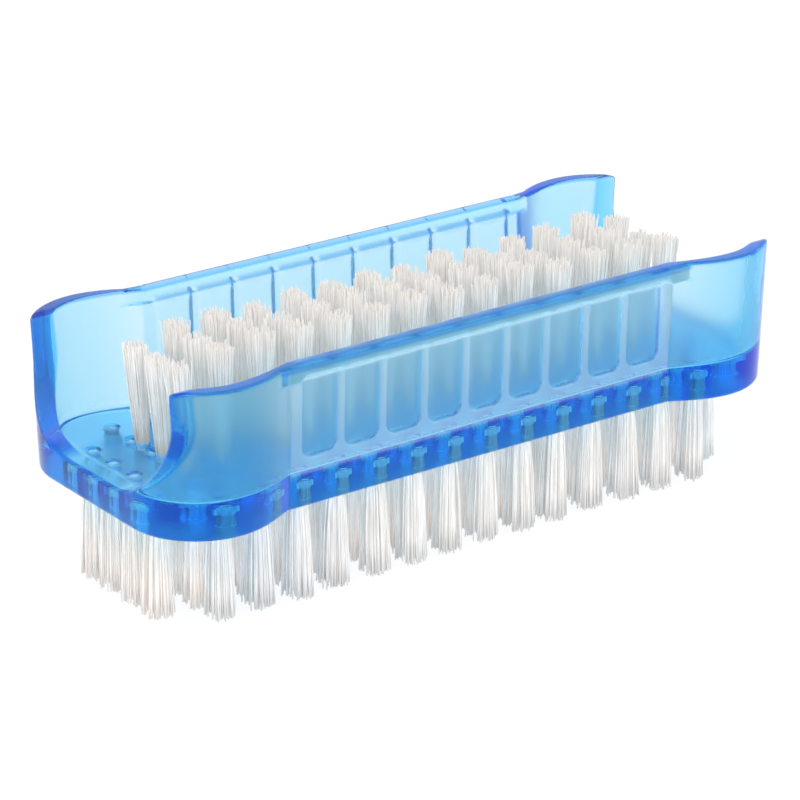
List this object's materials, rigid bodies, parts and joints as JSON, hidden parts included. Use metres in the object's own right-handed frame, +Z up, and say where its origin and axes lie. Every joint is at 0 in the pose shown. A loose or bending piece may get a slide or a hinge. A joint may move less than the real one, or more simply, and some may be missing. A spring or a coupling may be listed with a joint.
{
  "type": "nail brush",
  "caption": "Two-sided hand nail brush: a clear moulded body with fluted grip walls and open ends, tufts under its plate and more tufts standing in its channel.",
  "frame": {"origin": "centre of the base, at the tips of the lower tufts that the brush stands on", "axes": "+X along the brush, +Y across it, +Z up from the lower tufts to the open channel"},
  "size_m": [0.0948, 0.0388, 0.0327],
  "materials": {
    "blue_plastic": "clear blue moulded polystyrene, glossy",
    "nylon": "clear to white nylon filament, cut ends",
    "wire": "flat anchor wire, drawn"
  },
  "bodies": {
    "root": {"body": "blue_plastic", "lower_tuft_row_1": "nylon", "lower_tuft_row_2": "nylon", "lower_tuft_row_3": "nylon", "lower_tuft_row_4": "nylon", "lower_tuft_row_5": "nylon", "lower_tuft_row_6": "nylon", "upper_tuft_row_1": "nylon", "upper_tuft_row_2": "nylon", "upper_tuft_row_3": "nylon", "lower_anchor_row_1": "wire", "lower_anchor_row_2": "wire", "lower_anchor_row_3": "wire", "lower_anchor_row_4": "wire", "lower_anchor_row_5": "wire", "lower_anchor_row_6": "wire", "upper_anchor_row_1": "wire", "upper_anchor_row_2": "wire", "upper_anchor_row_3": "wire"}
  },
  "joints": []
}
